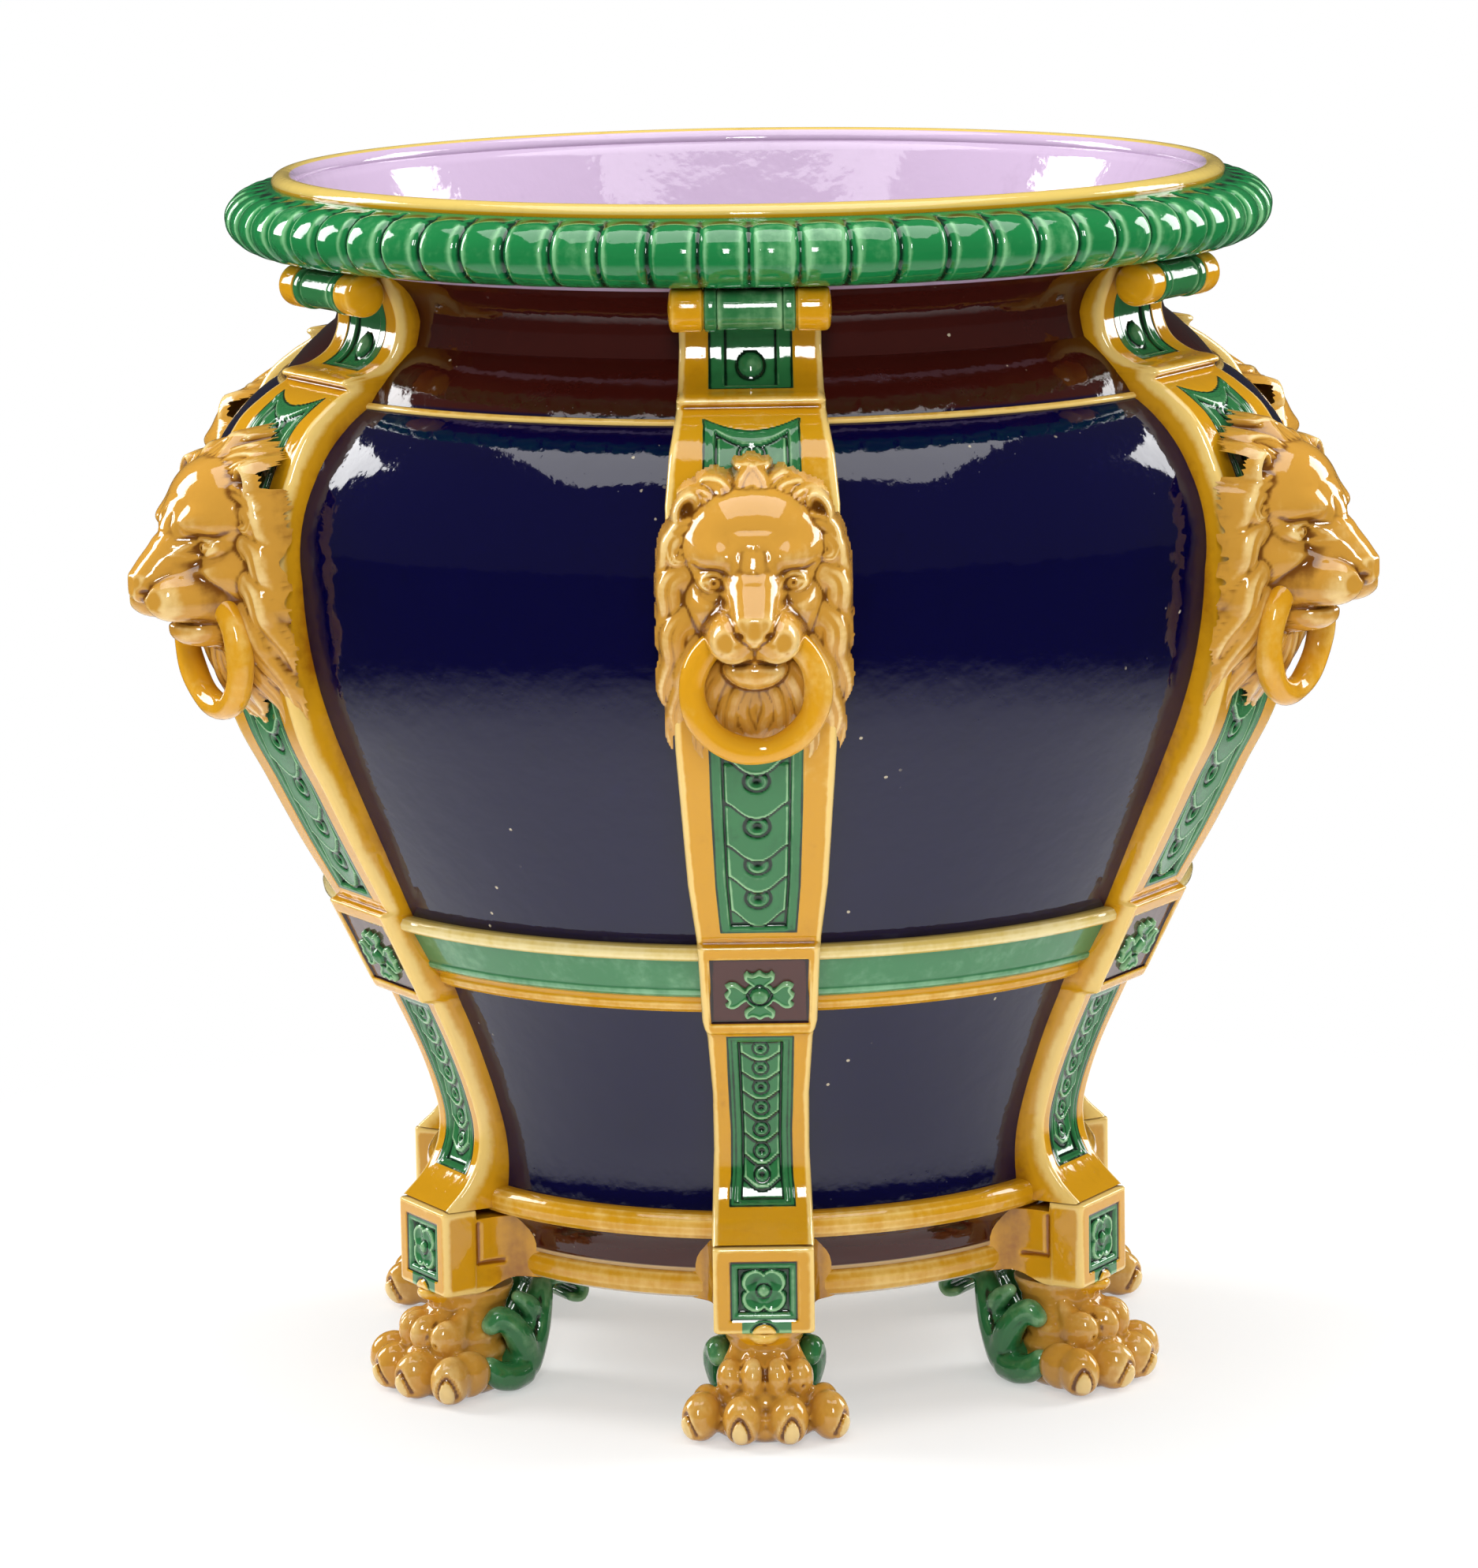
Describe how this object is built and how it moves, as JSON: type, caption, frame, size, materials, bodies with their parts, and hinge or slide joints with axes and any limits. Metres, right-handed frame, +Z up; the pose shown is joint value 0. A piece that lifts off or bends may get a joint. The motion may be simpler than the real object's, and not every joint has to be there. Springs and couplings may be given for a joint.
{
  "type": "jardiniere",
  "caption": "Glazed earthenware jardiniere with gadrooned rim, pilasters carrying lion masks with rings, and lion-paw feet.",
  "frame": {"origin": "on the floor, on the vertical axis of the pot", "axes": "+Z up along the axis of the pot, -Y towards the pilaster that faces the front"},
  "size_m": [0.494, 0.5666, 0.496],
  "materials": {
    "cobalt_glaze": "gloss",
    "yellow_glaze": "gloss",
    "green_glaze": "gloss",
    "ochre_glaze": "gloss",
    "tan_glaze": "gloss"
  },
  "bodies": {
    "root": {"body_shell": "cobalt_glaze", "rim_bead": "yellow_glaze", "gadrooned_rim": "green_glaze", "base_ring": "ochre_glaze", "shoulder_fillet": "yellow_glaze", "waist_band": "green_glaze", "lower_band": "ochre_glaze", "pilaster_1": "ochre_glaze", "pilaster_2": "ochre_glaze", "pilaster_3": "ochre_glaze", "pilaster_4": "ochre_glaze", "pilaster_5": "ochre_glaze", "pilaster_6": "ochre_glaze", "scroll_roll_1": "yellow_glaze", "scroll_roll_2": "yellow_glaze", "scroll_roll_3": "yellow_glaze", "scroll_roll_4": "yellow_glaze", "scroll_roll_5": "yellow_glaze", "scroll_roll_6": "yellow_glaze", "lion_mask_1": "tan_glaze", "lion_mask_2": "tan_glaze", "lion_mask_3": "tan_glaze", "lion_mask_4": "tan_glaze", "lion_mask_5": "tan_glaze", "lion_mask_6": "tan_glaze", "ring_handle_1": "yellow_glaze", "ring_handle_2": "yellow_glaze", "ring_handle_3": "yellow_glaze", "ring_handle_4": "yellow_glaze", "ring_handle_5": "yellow_glaze", "ring_handle_6": "yellow_glaze", "waist_sprig_1": "green_glaze", "waist_sprig_2": "green_glaze", "waist_sprig_3": "green_glaze", "waist_sprig_4": "green_glaze", "waist_sprig_5": "green_glaze", "waist_sprig_6": "green_glaze", "foot_block_1": "ochre_glaze", "foot_block_2": "ochre_glaze", "foot_block_3": "ochre_glaze", "foot_block_4": "ochre_glaze", "foot_block_5": "ochre_glaze", "foot_block_6": "ochre_glaze", "paw_foot_1": "tan_glaze", "paw_foot_2": "tan_glaze", "paw_foot_3": "tan_glaze", "paw_foot_4": "tan_glaze", "paw_foot_5": "tan_glaze", "paw_foot_6": "tan_glaze", "acanthus_leaf_1": "green_glaze", "acanthus_leaf_2": "green_glaze", "acanthus_leaf_3": "green_glaze", "acanthus_leaf_4": "green_glaze", "acanthus_leaf_5": "green_glaze", "acanthus_leaf_6": "green_glaze"}
  },
  "joints": []
}
